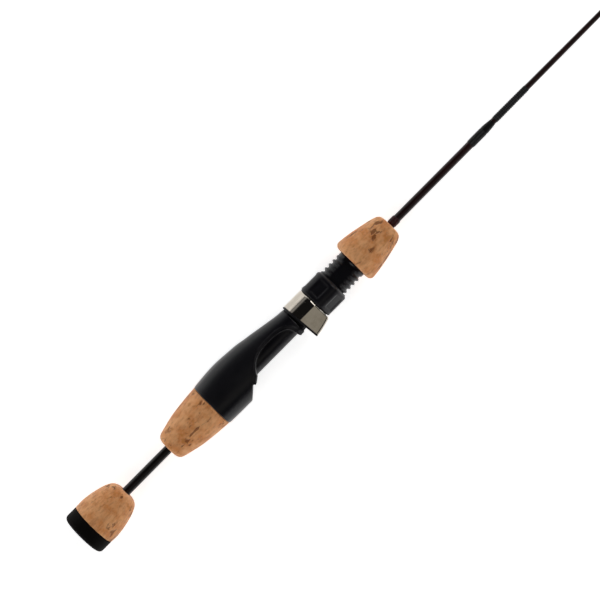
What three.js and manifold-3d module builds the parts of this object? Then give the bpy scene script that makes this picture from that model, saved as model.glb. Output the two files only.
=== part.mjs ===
// An ice fishing rod for a small spinning reel, lying on its side. Millimetres.
// +X runs along the rod from the butt's flat end to the tip, -Y is the side that the reel and the line guides
// are on, +Z is up. The origin is the centre of the butt cap's rear face, on the rod's axis.

import * as THREE from "three";
import { mergeVertices } from "three/addons/utils/BufferGeometryUtils.js";
import Module from "manifold-3d";

const wasm = await Module();
wasm.setup();

// ---------------------------------------------------------------- driving dimensions

const ROD_LENGTH = 610;
const GLUE = 0.3; // glue line between pieces that are bonded, and running gap between loose ones
const FACE_GAP = 0.05; // between end faces that are bonded
const WRAP_GAP = 0.12; // between a thread winding and what it is wound on
const MERGE = 1e-4;
const CLEAR = 12; // reaches past the barrel, for tools that cut right across it
const SIDES = 32; // facets round the handle's pieces
const BORE_SIDES = 16; // facets round hidden bores
const ROD_SIDES = 12; // facets round the blank and its windings

// Butt end
const CAP_LENGTH = 8.6;
const CAP_RADIUS = 13.9;
const CAP_CORNER = 1.6;
const CAP_SOCKET = { radius: 9.3, depth: 4 };
const KNOB = {
  end: 34.2,
  flank: [[14, 13.95], [19.7, 13.2], [26.4, 11.6], [30.4, 10], [32.7, 8.4], [33.9, 6.4]],
};

// Blank
const BLANK_START = 12;
const BLANK_END = 317;
const BLANK_BORE = 1.6;
const BLANK_RADIUS = { butt: 2.7, front: 2.25 };
const TIP_SPIGOT = { start: 292, radius: 1.45 };
const TIP_RADIUS = { splice: 1.85, end: 0.62 };
const TIP_END = ROD_LENGTH - 1.2;

// Thread windings: how far each stands proud of what it is wound on
const TRIM = { length: 5, gap: 0.4, build: 0.3 };
const SPLICE = { start: 305.8, coneStart: 316.9, end: 323.6, radius: 2.58, feather: 0.1 };
const BAND = { start: 325, end: 350.5, build: 0.2 };
const GUIDE_WRAP = { lead: 2, extra: 0.5, frontOffset: 3.5, build: 0.3, bore: 0.62, drop: 0.42 };
const TIP_WRAP = { length: 5, gap: 0.2, build: 0.25 };
const ARBORS = { length: 20, rear: 114, front: 186 };

// Handle stations along the rod
const REAR_GRIP = {
  start: 68.1,
  end: 102.1,
  flank: [[68.3, 6.4], [69.1, 7.8], [71, 9], [76.4, 10.4], [83.1, 11.9], [93.1, 13.1]],
};
const SEAT = { start: 102.1, end: 213.1 };
const FORE_GRIP = {
  start: 213.1,
  end: 242.8,
  rearCorner: 2.8,
  flank: [[217, 13.7], [223, 12.9], [229.7, 11.6], [236.4, 10.1], [240, 9], [241.9, 7.7], [242.6, 6.4]],
};
const GRIP_RADIUS = 13.75; // where the corks meet the reel seat
const GRIP_END_RADIUS = 5.4; // of the small flat end round the blank
const TENON = { rearRadius: 9.2, rearLength: 7.4, foreRadius: 7.6, foreLength: 6.4 };

// Reel seat
const SEAT_BORE = 4.8;
const BED = { radius: 6.3, depth: 6.0, start: 104 };
const SHELL_END = 167.3;
const SLOPE = [[119.5, -14.5], [126.4, -8.2]]; // slanted mouth of the fixed hood, from its outer lip inward
const LIP = [[127.4, -8.9], [128.8, -8.7]]; // small step at the slope's inner end
const ARCH = [[131.4, -6.6], [133.6, -3.2], [137, -0.2], [142, 1.8], [149, 2.5], [155.5, 2.1], [160.5, 0.5]];
const ARCH_FRONT = [[162.6, -1.6], [163.4, -3.6], [163.6, -6]];
const COLLAR = [[164.2, -7.5], [165.2, -8.6], [167.2, -9.1]]; // round shoulder ahead of the arch
const POCKET = { start: 112, end: 124, deepEnd: 10.3, mouth: 12.4, halfWidth: 6.2, reach: 8, inner: 4 };
const CHANNEL = { start: 160, end: 178, halfWidth: 5.6 };
const BARREL = { radius: 9.0, root: 8.0, flat: 7.2, smoothEnd: 184.2, threadStart: 187, threadEnd: 210.8 };
const COLLAR_RADIUS = 8.9; // plain end of the barrel ahead of the thread
const THREAD = { pitch: 3.1, crest: 9.2, crestWidth: 0.7, footWidth: 2.3, topCrest: 200.6, sunk: 0.6 };
const THREAD_STEPS_PER_TURN = 16;

// Sliding hood
const HOOD = {
  start: 167.9,
  end: 182.2,
  radius: 10.2,
  depth: 14.6,
  frontDepth: 12.0,
  corner: 1.6,
  slant: 2.3,
};
const CHEEK = { top: 1.5, draft: 0.19 }; // the flat cheeks lean in below this depth, by this much for each mm
const SHELL_WALL = 0.55;
const LINER_TOP_END = 0.6; // the liner closes over the top this far behind the hood's front edge
const LINING_GAP = 0.12;
const LINER = {
  flange: 1.2,
  bore: 9.5,
  flat: 7.5,
  top: 4,
  floorRear: 12.9,
  floorFront: 10.4,
  halfWidth: 5.9,
};
const SNAP = { length: 1.9, neck: 9.53, radius: 9.75, bead: 9.92, beadLength: 0.6, clearance: 0.12 };

// Lock nut
const NUT = { start: 182.8, end: 197.4, threadStart: 189, flat: 10.3, lobe: 11.05, lobes: 5, chamfer: 1.3 };

// The dish in each of the nut's finger flats
const DISH = { depth: 0.5, start: 184.8, rearFull: 186.2, frontFull: 193.6, end: 194.8 };

// Line guides: where each foot starts, ring centre's distance ahead of that, ring height and radius
const GUIDES = [
  { foot: 424, ring: 21, height: 9.1, radius: 5.2, wire: 0.5, doubleFoot: true },
  { foot: 482, ring: 14, height: 6.7, radius: 3.7, wire: 0.45, doubleFoot: false },
  { foot: 527, ring: 12.5, height: 5.7, radius: 3.2, wire: 0.42, doubleFoot: false },
  { foot: 566, ring: 11.5, height: 5.0, radius: 2.8, wire: 0.4, doubleFoot: false },
];
const FOOT = { length: 11, thickness: 0.7, halfWidth: 0.7 };
const RING_GAP = 0.2; // between a guide's frame and its ceramic ring
const GUIDE_LEAN = THREE.MathUtils.degToRad(12);
const TIP_TOP = { start: 597.5, ringX: 606.6, height: 3.7, radius: 2.5, wire: 0.4, wall: 0.35 };

// ---------------------------------------------------------------- materials

const finish = (color, roughness, metalness = 0) =>
  new THREE.MeshStandardMaterial({ color, roughness, metalness });
const CORK = finish(0xb98253, 0.85);
const RUBBER = finish(0x161616, 0.8);
const SEAT_PLASTIC = finish(0x1c1c20, 0.42);
const NUT_PLASTIC = finish(0x19191d, 0.5);
const LINER_PLASTIC = finish(0x121214, 0.5);
const POLISHED_METAL = finish(0xb8b2a6, 0.12, 1);
const LACQUERED_BLANK = finish(0x1d0f10, 0.18);
const PAPER = finish(0x8a8272, 0.9);
const BLACK_THREAD = finish(0x0e0e10, 0.25);
const RED_THREAD = finish(0x4a0f14, 0.25);
const GUIDE_WIRE = finish(0x8d8f92, 0.25, 1);
const CERAMIC = finish(0x23262a, 0.15);

// ---------------------------------------------------------------- solids

// A closed geometry as a solid that can be joined and cut.
function solidOf(geometry) {
  const source = geometry.index ? geometry.toNonIndexed() : geometry;
  const bare = new THREE.BufferGeometry();
  bare.setAttribute("position", source.getAttribute("position"));
  const merged = mergeVertices(bare, MERGE);
  return new wasm.Manifold(
    new wasm.Mesh({
      numProp: 3,
      vertProperties: merged.attributes.position.array,
      triVerts: new Uint32Array(merged.index.array),
    }),
  );
}

function geometryOf(solid) {
  const mesh = solid.getMesh();
  const geometry = new THREE.BufferGeometry();
  geometry.setAttribute("position", new THREE.BufferAttribute(mesh.vertProperties, mesh.numProp));
  geometry.setIndex(new THREE.BufferAttribute(mesh.triVerts, 1));
  geometry.computeVertexNormals();
  return geometry;
}

function join(...geometries) {
  return geometryOf(geometries.map(solidOf).reduce((whole, next) => whole.add(next)));
}

function cut(geometry, ...tools) {
  return geometryOf(tools.map(solidOf).reduce((whole, next) => whole.subtract(next), solidOf(geometry)));
}

function common(geometry, other) {
  return geometryOf(solidOf(geometry).intersect(solidOf(other)));
}

// Moves every vertex of a geometry with a function that changes the vector it is given.
function reshape(geometry, move) {
  const position = geometry.getAttribute("position");
  const point = new THREE.Vector3();
  for (let i = 0; i < position.count; i += 1) {
    point.fromBufferAttribute(position, i);
    move(point);
    position.setXYZ(i, point.x, point.y, point.z);
  }
  return geometry;
}

// ---------------------------------------------------------------- shapes

// A solid turned about the X axis from [x, radius] points. They run from rear to front along the outside, and
// end on the axis or go back along the bore. A flat facet faces up, down and to each side.
function turned(outline, sides = SIDES) {
  const points = outline.map(([x, radius]) => new THREE.Vector2(radius, x));
  const lathe = new THREE.LatheGeometry(points, sides);
  lathe.rotateZ(-Math.PI / 2);
  lathe.rotateX(Math.PI / sides);
  return lathe;
}

const plug = (start, end, radius, sides) =>
  turned([[start, 0], [start, radius], [end, radius], [end, 0]], sides);

// A turned sleeve: the outside's points, rear to front, and the bore's, front to rear.
const sleeve = (outside, bore, sides) => turned([...outside, ...bore, outside[0]], sides);

// A smooth line of [x, radius] points through a few given ones.
function smooth(points, steps) {
  const curve = new THREE.SplineCurve(points.map(([x, y]) => new THREE.Vector2(x, y)));
  return curve.getPoints(steps).map((p) => [p.x, p.y]);
}

// A quarter round from one direction to another, as [x, radius] points, angles in degrees from +X.
function corner(x, radius, size, from, to, steps = 3) {
  return Array.from({ length: steps + 1 }, (_, i) => {
    const angle = THREE.MathUtils.degToRad(from + ((to - from) * i) / steps);
    return [x + size * Math.cos(angle), radius + size * Math.sin(angle)];
  });
}

// An outline in the XY plane, given thickness along Z about the rod's middle plane.
function slab(outline, halfWidth) {
  const shape = new THREE.Shape(outline.map(([x, y]) => new THREE.Vector2(x, y)));
  const geometry = new THREE.ExtrudeGeometry(shape, { depth: 2 * halfWidth, bevelEnabled: false });
  return geometry.translate(0, 0, -halfWidth);
}

function block(low, high) {
  const size = high.map((value, i) => value - low[i]);
  const middle = high.map((value, i) => (value + low[i]) / 2);
  return new THREE.BoxGeometry(...size).translate(...middle);
}

// A round wire along a curve.
function wire(points, radius, steps, sides = 5) {
  const section = new THREE.Shape().absarc(0, 0, radius, 0, 2 * Math.PI);
  const path = new THREE.CatmullRomCurve3(points.map((p) => new THREE.Vector3(...p)));
  return new THREE.ExtrudeGeometry(section, {
    steps,
    curveSegments: sides,
    bevelEnabled: false,
    extrudePath: path,
  });
}

// ---------------------------------------------------------------- parts

const rod = new THREE.Group();

function add(name, geometry, material) {
  const mesh = new THREE.Mesh(geometry, material);
  mesh.name = name;
  rod.add(mesh);
}

// Radius of the hollow butt section of the blank, which tapers evenly to the splice.
const blankRadius = (x) =>
  THREE.MathUtils.mapLinear(x, BLANK_START, BLANK_END, BLANK_RADIUS.butt, BLANK_RADIUS.front);

// Radius of the solid tip section.
const tipRadius = (x) =>
  THREE.MathUtils.mapLinear(x, BLANK_END, TIP_END, TIP_RADIUS.splice, TIP_RADIUS.end);

// ---- butt cap and knob

function buttCap() {
  const outside = [
    [0, 0],
    ...corner(CAP_CORNER, CAP_RADIUS - CAP_CORNER, CAP_CORNER, 180, 90),
    [CAP_LENGTH, CAP_RADIUS],
  ];
  const floor = CAP_LENGTH - CAP_SOCKET.depth;
  const socket = [[CAP_LENGTH, CAP_SOCKET.radius], [floor, CAP_SOCKET.radius], [floor, 0]];
  return turned([...outside, ...socket]);
}

// Cork pieces keep a bore for the blank, which is glued in.
function buttKnob() {
  const start = CAP_LENGTH + FACE_GAP;
  const tenonStart = CAP_LENGTH - CAP_SOCKET.depth + GLUE;
  const boreEnd = BLANK_START - GLUE;
  const bore = BLANK_RADIUS.butt + GLUE;
  return turned([
    [tenonStart, 0],
    [tenonStart, CAP_SOCKET.radius - GLUE],
    [start, CAP_SOCKET.radius - GLUE],
    [start, CAP_RADIUS],
    ...smooth(KNOB.flank, 8),
    [KNOB.end, GRIP_END_RADIUS],
    [KNOB.end, bore],
    [boreEnd, bore],
    [boreEnd, 0],
  ]);
}

function rearGrip() {
  const bore = BLANK_RADIUS.butt + GLUE;
  const tenonEnd = REAR_GRIP.end + TENON.rearLength;
  const shoulder = REAR_GRIP.end - FACE_GAP;
  return sleeve(
    [
      [REAR_GRIP.start, GRIP_END_RADIUS],
      ...smooth([...REAR_GRIP.flank, [shoulder, GRIP_RADIUS]], 9),
      [shoulder, TENON.rearRadius],
      [tenonEnd, TENON.rearRadius],
    ],
    [[tenonEnd, bore], [REAR_GRIP.start, bore]],
  );
}

function foreGrip() {
  const bore = BLANK_RADIUS.butt + GLUE;
  const socketEnd = FORE_GRIP.start + TENON.foreLength + GLUE;
  const socketRadius = TENON.foreRadius + GLUE;
  const start = FORE_GRIP.start + FACE_GAP;
  const { end, rearCorner, flank } = FORE_GRIP;
  return sleeve(
    [
      ...corner(start + rearCorner, GRIP_RADIUS - rearCorner, rearCorner, 180, 90),
      ...smooth(flank, 9),
      [end, GRIP_END_RADIUS],
    ],
    [[end, bore], [socketEnd, bore], [socketEnd, socketRadius], [start, socketRadius]],
  );
}

// ---- blank

function blankButt() {
  return sleeve(
    [[BLANK_START, blankRadius(BLANK_START)], [BLANK_END, blankRadius(BLANK_END)]],
    [[BLANK_END, BLANK_BORE], [BLANK_START, BLANK_BORE]],
    ROD_SIDES,
  );
}

function blankTip() {
  const shoulder = BLANK_END + GLUE;
  return turned(
    [
      [TIP_SPIGOT.start, 0],
      [TIP_SPIGOT.start, TIP_SPIGOT.radius],
      [shoulder, TIP_SPIGOT.radius],
      [shoulder, tipRadius(shoulder)],
      [TIP_END, TIP_RADIUS.end],
      [TIP_END, 0],
    ],
    ROD_SIDES,
  );
}

// A thread winding with sloped ends on a round or tapered stretch.
function winding(start, end, boreStart, boreEnd, build) {
  const ramp = Math.min(0.8, (end - start) / 4);
  return sleeve(
    [
      [start, boreStart + build / 3],
      [start + ramp, boreStart + build],
      [end - ramp, boreEnd + build],
      [end, boreEnd + build / 3],
    ],
    [[end, boreEnd], [start, boreStart]],
    ROD_SIDES,
  );
}

// The winding over the splice carries on as a cone of finish down to the thinner tip section.
function spliceWrap() {
  const { start, coneStart, end, radius, feather } = SPLICE;
  const bore = blankRadius(start) + WRAP_GAP;
  const frontBore = tipRadius(BLANK_END) + WRAP_GAP;
  const shoulder = BLANK_END + GLUE;
  const middle = [(coneStart + end) / 2, (radius + frontBore + feather) / 2 + feather / 2];
  return sleeve(
    [[start, bore + feather], [start + 0.7, radius], [coneStart, radius], middle, [end, frontBore + feather]],
    [[end, frontBore], [shoulder, frontBore], [shoulder, bore], [start, bore]],
    ROD_SIDES,
  );
}

// An arbor fills the space between the blank and the seat's bore.
function arbor(start) {
  const end = start + ARBORS.length;
  const outer = SEAT_BORE - GLUE / 2;
  const inner = BLANK_RADIUS.butt + GLUE / 2;
  return sleeve([[start, outer], [end, outer]], [[end, inner], [start, inner]], BORE_SIDES);
}

// ---- reel seat

// Stations of the seat's outside: place, height above the axis, depth below it, half-width.
const SEAT_STATIONS = [
  [SEAT.start, 13.8, 13.9, 13.7],
  [103.2, 14.1, 14.1, 13.85],
  [110, 14.75, 14.25, 13.6],
  [116, 15.1, 14.3, 13.2],
  [121, 15.1, 14.3, 12.75],
  [126, 14.8, 14.2, 12.3],
  [131, 14.4, 14, 11.8],
  [136, 13.9, 13.6, 11.2],
  [141, 13.0, 12.8, 10.6],
  [146, 12.3, 12, 10.1],
  [151, 11.4, 11, 9.7],
  [156, 10.6, 10.2, 9.4],
  [161, 9.8, 9.6, 9.2],
  [165, 9.35, 9.3, 9.1],
  [SHELL_END, 9.2, 9.2, 9.0],
];
const SIDE_FLATNESS = 0.86; // exponent that fills the section out towards its corners

function seatOutside() {
  const last = SEAT_STATIONS.length - 1;
  const outline = [
    [SEAT_STATIONS[0][0], 0],
    ...SEAT_STATIONS.map(([x]) => [x, 1]),
    [SEAT_STATIONS[last][0], 0],
  ];
  const fill = (value) => Math.sign(value) * Math.abs(value) ** SIDE_FLATNESS;
  const nearest = (x) => SEAT_STATIONS.find((station) => Math.abs(station[0] - x) < 0.01);
  return reshape(turned(outline), (p) => {
    const [, top, bottom, side] = nearest(p.x);
    p.y = fill(p.y) * (p.y > 0 ? top : bottom);
    p.z = fill(p.z) * side;
  });
}

// What is cut away below the side arches, the slanted mouth of the fixed hood and the front collar.
function archWindow() {
  const below = -20;
  const reach = 5;
  const beyond = SHELL_END + 1;
  return slab(
    [
      [SLOPE[0][0] - reach, below],
      ...SLOPE,
      ...LIP,
      ...smooth(ARCH, 10),
      ...smooth(ARCH_FRONT, 4),
      ...smooth(COLLAR, 4),
      [beyond, COLLAR[2][1]],
      [beyond, below],
    ],
    -below,
  );
}

// The pocket that takes the rear end of a reel's foot.
function footPocket() {
  const { start, end, deepEnd, mouth, reach, inner, halfWidth } = POCKET;
  return slab(
    [
      [start, -inner],
      [start, -deepEnd],
      [end, -mouth],
      [end + reach, -mouth],
      [end + reach, -inner],
    ],
    halfWidth,
  );
}

// The inner tube, with a flat land on its reel side for the foot to sit on.
function footBed() {
  const tube = plug(BED.start, SHELL_END + 2, BED.radius);
  const keep = block([BED.start - 1, -BED.depth, -CLEAR], [SHELL_END + 3, CLEAR, CLEAR]);
  return common(tube, keep);
}

// A ridge of trapezoid section wound round the X axis; grow widens it on every side for a female thread.
function threadRidge(start, end, grow = 0) {
  const turns = (end - start) / THREAD.pitch;
  const steps = Math.ceil(turns * THREAD_STEPS_PER_TURN);
  const foot = THREAD.footWidth / 2 + grow;
  const crest = THREAD.crestWidth / 2 + grow * 0.6;
  const inside = BARREL.root - THREAD.sunk;
  const slope = (foot - crest) / (THREAD.crest - BARREL.root);
  const section = new THREE.Shape([
    new THREE.Vector2(-foot - (slope * THREAD.sunk) / 2, inside),
    new THREE.Vector2(foot + (slope * THREAD.sunk) / 2, inside),
    new THREE.Vector2(crest, THREAD.crest + grow),
    new THREE.Vector2(-crest, THREAD.crest + grow),
  ]);
  const strip = new THREE.ExtrudeGeometry(section, { depth: 1, steps, bevelEnabled: false });
  const lead = THREE.MathUtils.euclideanModulo(start - THREAD.topCrest, THREAD.pitch);
  const startAngle = (2 * Math.PI * lead) / THREAD.pitch;
  return reshape(strip, (p) => {
    const angle = startAngle + 2 * Math.PI * turns * p.z;
    const x = start + THREAD.pitch * turns * p.z + p.x;
    p.set(x, p.y * Math.cos(angle), p.y * Math.sin(angle));
  });
}

// Smooth under the hood, threaded ahead of it, with a flat on each side that keeps the hood from turning.
function barrel() {
  const core = turned([
    [SHELL_END - 2, 0],
    [SHELL_END - 2, BARREL.radius],
    [BARREL.smoothEnd, BARREL.radius],
    [BARREL.smoothEnd, BARREL.root],
    [BARREL.threadEnd, BARREL.root],
    [BARREL.threadEnd, COLLAR_RADIUS],
    [SEAT.end, COLLAR_RADIUS],
    [SEAT.end, 0],
  ]);
  const ridge = threadRidge(BARREL.threadStart, BARREL.threadEnd);
  const flats = block([SHELL_END - 3, -CLEAR, -BARREL.flat], [SEAT.end + 1, CLEAR, BARREL.flat]);
  return common(join(core, ridge), flats);
}

function reelSeat() {
  const shell = cut(seatOutside(), archWindow(), footPocket());
  const tenon = plug(SEAT.end - 1, SEAT.end + TENON.foreLength, TENON.foreRadius);
  const whole = join(shell, footBed(), barrel(), tenon);
  const { start, end, halfWidth } = CHANNEL;
  const channel = block([start, -CLEAR, -halfWidth], [end, -BED.depth, halfWidth]);
  const bore = plug(SEAT.start - 1, SEAT.end + TENON.foreLength + 1, SEAT_BORE, BORE_SIDES);
  const socket = plug(SEAT.start - 1, SEAT.start + TENON.rearLength + GLUE, TENON.rearRadius + GLUE, SIDES);
  return cut(whole, channel, bore, socket);
}

// ---- sliding hood

// How far below the axis the hood reaches: it flares towards its mouth at the rear.
function hoodDepth(x) {
  const t = THREE.MathUtils.clamp((x - HOOD.start) / (HOOD.end - HOOD.start), 0, 1);
  return HOOD.depth - (HOOD.depth - HOOD.frontDepth) * t ** 1.5;
}

// A solid with the hood's section, round above and a flat-sided pocket below, set in by a wall's thickness.
// Its rear slants, so it reaches further back above than below.
function hoodBody(start, end, inset = 0) {
  const radius = HOOD.radius - inset;
  const depth = HOOD.depth - inset;
  const round = HOOD.corner - inset;
  const section = new THREE.Shape();
  section.absarc(0, 0, radius, 0, Math.PI);
  section.lineTo(-radius, -CHEEK.top);
  section.absarc(-(radius - round), -(depth - round), round, Math.PI, 1.5 * Math.PI);
  section.absarc(radius - round, -(depth - round), round, 1.5 * Math.PI, 2 * Math.PI);
  section.lineTo(radius, -CHEEK.top);
  section.closePath();
  const geometry = new THREE.ExtrudeGeometry(section, {
    depth: end - start,
    steps: 3,
    curveSegments: 7,
    bevelEnabled: false,
  });
  geometry.rotateY(Math.PI / 2).translate(start, 0, 0);
  return reshape(geometry, (p) => {
    const down = (HOOD.radius - p.y) / (HOOD.radius + HOOD.depth);
    if (p.y < 0) p.y *= (hoodDepth(p.x) - inset) / depth;
    p.z *= 1 - (CHEEK.draft * Math.max(0, -p.y - CHEEK.top)) / HOOD.radius;
    p.x += HOOD.slant * down * Math.max(0, (HOOD.end - p.x) / (HOOD.end - HOOD.start));
  });
}

function hoodShell() {
  const rear = HOOD.start + LINER.flange;
  return cut(hoodBody(rear, HOOD.end), hoodBody(rear - 2, HOOD.end + 2, SHELL_WALL));
}

// The pocket in the hood for the front end of a reel's foot.
function hoodPocket() {
  const rear = HOOD.start - 4;
  const front = HOOD.end - 3;
  const { top, floorRear, floorFront, halfWidth } = LINER;
  return slab(
    [
      [rear, -top],
      [rear, -floorRear],
      [HOOD.start, -floorRear],
      [front, -floorFront],
      [front, -top],
    ],
    halfWidth,
  );
}

// The ring in front of the liner that the nut snaps over and turns on.
function snapRing() {
  const start = HOOD.end + 0.1;
  const end = HOOD.end + SNAP.length;
  const bead = end - 0.2;
  return turned([
    [start - LINER_TOP_END, 0],
    [start - LINER_TOP_END, SNAP.neck],
    [start, SNAP.neck],
    [start, SNAP.radius],
    [bead - SNAP.beadLength, SNAP.radius],
    [bead - SNAP.beadLength + 0.2, SNAP.bead],
    [bead, SNAP.bead],
    [end, SNAP.radius],
    [end, 0],
  ]);
}

// The liner fills the metal shell's sides and pocket, has a rim behind the shell, and a snap ring in front.
function hoodLiner() {
  const rearOfShell = HOOD.start + LINER.flange - LINING_GAP;
  const rim = hoodBody(HOOD.start, rearOfShell);
  const lining = cut(
    hoodBody(HOOD.start + 0.2, HOOD.end, SHELL_WALL + LINING_GAP),
    block([rearOfShell + LINING_GAP, LINER.top, -CLEAR], [HOOD.end - LINER_TOP_END, CLEAR, CLEAR]),
  );
  const rear = HOOD.start - 4;
  const keyEnd = HOOD.end + 0.5;
  const beyond = HOOD.end + 4;
  const round = plug(rear, beyond, LINER.bore);
  const keyed = common(round, block([rear, -CLEAR, -LINER.flat], [keyEnd, CLEAR, LINER.flat]));
  const roundFront = plug(keyEnd, beyond, LINER.bore);
  return cut(join(rim, lining, snapRing()), keyed, roundFront, hoodPocket());
}

// ---- lock nut

// Five soft lobes with a dished finger flat between each pair, and a rounded front edge.
function lockNut() {
  const { start, end, chamfer } = NUT;
  const stations = [start, DISH.start, DISH.rearFull, 190, DISH.frontFull, DISH.end, end - 1.6, end];
  const outline = [[start, 0], ...stations.map((x) => [x, 1]), [end, 0]];
  const sides = NUT.lobes * 8;
  const ease = THREE.MathUtils.smoothstep;
  const outside = reshape(turned(outline, sides), (p) => {
    if (Math.hypot(p.y, p.z) < 0.5) return;
    const wave = Math.cos(NUT.lobes * Math.atan2(p.z, p.y));
    const along = ease(p.x, DISH.start, DISH.rearFull) - ease(p.x, DISH.frontFull, DISH.end);
    const dish = DISH.depth * ease(wave, -0.35, 0.5) * along;
    const edge = chamfer * Math.max(0, (p.x - stations[6]) / (end - stations[6]));
    const radius = NUT.flat + ((NUT.lobe - NUT.flat) * (1 - wave)) / 2 - dish - edge;
    p.y *= radius;
    p.z *= radius;
  });
  const rear = start - 1;
  const snapEnd = HOOD.end + SNAP.length + 0.2;
  const groove = snapEnd - SNAP.beadLength - 0.55;
  const bore = plug(rear, end + 1, BARREL.root + GLUE);
  const clearance = plug(rear, NUT.threadStart, THREAD.crest + GLUE);
  const counterbore = turned([
    [rear, 0],
    [rear, SNAP.radius + SNAP.clearance],
    [groove, SNAP.radius + SNAP.clearance],
    [groove + 0.2, SNAP.bead + SNAP.clearance],
    [snapEnd, SNAP.bead + SNAP.clearance],
    [snapEnd, 0],
  ]);
  const female = threadRidge(NUT.threadStart - 1, end + 2, GLUE);
  return cut(outside, join(bore, female), clearance, counterbore);
}

// ---- line guides

// The foot of a guide is a flat bar on the reel side of the blank.
function guideFoot(start, end, blank) {
  const top = -(blank + 0.1);
  const bottom = top - FOOT.thickness;
  const toe = 0.25;
  const outline = [[start, top], [start, top - toe], [start + 3, bottom], [end, bottom], [end, top]];
  return slab(outline, FOOT.halfWidth);
}

const guideRing = (radius, tube, x, y) =>
  new THREE.TorusGeometry(radius, tube, 6, 16)
    .rotateY(Math.PI / 2)
    .rotateZ(GUIDE_LEAN)
    .translate(x, y, 0);

function guideFrame({ foot, ring, height, radius, wire: thick, doubleFoot }) {
  const x = foot + ring;
  const blank = tipRadius(foot);
  const base = -(blank + 0.1 + FOOT.thickness / 2);
  const pieces = [guideFoot(foot, foot + FOOT.length, blank), guideRing(radius, thick, x, -height)];
  for (const side of [-1, 1]) {
    pieces.push(
      wire(
        [
          [foot + FOOT.length - 1, base, side * 0.3],
          [foot + FOOT.length + 1, base - 0.8, side * 0.9],
          [x - radius * 0.35, -height + radius * 0.45, side * radius * 0.82],
          [x, -height, side * (radius + 0.1)],
        ],
        thick * 0.9,
        3,
      ),
    );
  }
  if (doubleFoot) {
    const frontStart = x + radius + 2;
    const ringTop = [x - radius * Math.sin(GUIDE_LEAN), -height + radius * Math.cos(GUIDE_LEAN), 0];
    pieces.push(
      slab(
        [
          [frontStart + FOOT.length, base + FOOT.thickness / 2],
          [frontStart, base + FOOT.thickness / 2],
          [frontStart, base - FOOT.thickness / 2],
          [frontStart + FOOT.length - 3, base - FOOT.thickness / 2],
          [frontStart + FOOT.length, base + 0.1],
        ],
        FOOT.halfWidth,
      ),
      wire([[frontStart + 1, base, 0], [x + radius * 0.6, base - 0.6, 0], ringTop], thick * 0.9, 4),
    );
  }
  return join(...pieces);
}

// The wrap goes round both the blank and the foot, so it sits off the blank's axis.
function guideWrap(start, end, blank) {
  const bore = blank + GUIDE_WRAP.bore;
  return winding(start, end, bore, bore, GUIDE_WRAP.build).translate(0, -GUIDE_WRAP.drop, 0);
}

function addGuide(guide, number) {
  const name = `guide_${number}`;
  const blank = tipRadius(guide.foot);
  const ringX = guide.foot + guide.ring;
  const insert = guide.wire + 0.05;
  const insertRadius = guide.radius - guide.wire - insert - RING_GAP;
  add(`${name}_frame`, guideFrame(guide), GUIDE_WIRE);
  add(`${name}_ring`, guideRing(insertRadius, insert, ringX, -guide.height), CERAMIC);
  const rear = guide.foot - GUIDE_WRAP.lead;
  const length = FOOT.length + GUIDE_WRAP.extra;
  add(`${name}_wrap_rear`, guideWrap(rear, rear + length, blank), BLACK_THREAD);
  if (guide.doubleFoot) {
    const front = ringX + guide.radius + GUIDE_WRAP.frontOffset;
    add(`${name}_wrap_front`, guideWrap(front, front + length, blank), BLACK_THREAD);
  }
}

function tipTopFrame() {
  const bore = tipRadius(TIP_TOP.start) + 0.1;
  const outer = bore + TIP_TOP.wall;
  const end = TIP_END + 0.15;
  const tube = turned(
    [
      [TIP_TOP.start, bore],
      [TIP_TOP.start, outer],
      [end + 0.3, outer],
      [end + 1, 0.5],
      [end + 1, 0],
      [end, 0],
      [end, bore],
      [TIP_TOP.start, bore],
    ],
    ROD_SIDES,
  );
  const legs = [-1, 1].map((side) =>
    wire(
      [
        [TIP_TOP.ringX - 4, -outer + 0.1, side * 0.3],
        [TIP_TOP.ringX - 1.5, -outer - 0.7, side * 1.2],
        [TIP_TOP.ringX, -TIP_TOP.height, side * (TIP_TOP.radius + 0.1)],
      ],
      TIP_TOP.wire,
      4,
    ),
  );
  return join(tube, guideRing(TIP_TOP.radius, TIP_TOP.wire, TIP_TOP.ringX, -TIP_TOP.height), ...legs);
}

// ---------------------------------------------------------------- assembly

add("butt_cap", buttCap(), RUBBER);
add("butt_knob_cork", buttKnob(), CORK);
add("blank_butt_section", blankButt(), LACQUERED_BLANK);
add("blank_tip_section", blankTip(), LACQUERED_BLANK);
add("rear_grip_cork", rearGrip(), CORK);
add("seat_arbor_rear", arbor(ARBORS.rear), PAPER);
add("seat_arbor_front", arbor(ARBORS.front), PAPER);
add("reel_seat_body", reelSeat(), SEAT_PLASTIC);
add("sliding_hood_shell", hoodShell(), POLISHED_METAL);
add("sliding_hood_liner", hoodLiner(), LINER_PLASTIC);
add("lock_nut", lockNut(), NUT_PLASTIC);
add("fore_grip_cork", foreGrip(), CORK);

const trimStart = FORE_GRIP.end + TRIM.gap;
const trimBore = blankRadius(trimStart) + WRAP_GAP;
const trim = winding(trimStart, trimStart + TRIM.length, trimBore, trimBore, TRIM.build);
add("fore_trim_winding", trim, RED_THREAD);
add("splice_wrap", spliceWrap(), BLACK_THREAD);
const bandBores = [BAND.start, BAND.end].map((x) => tipRadius(x) + WRAP_GAP);
add("tip_band_winding", winding(BAND.start, BAND.end, ...bandBores, BAND.build), BLACK_THREAD);

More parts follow.
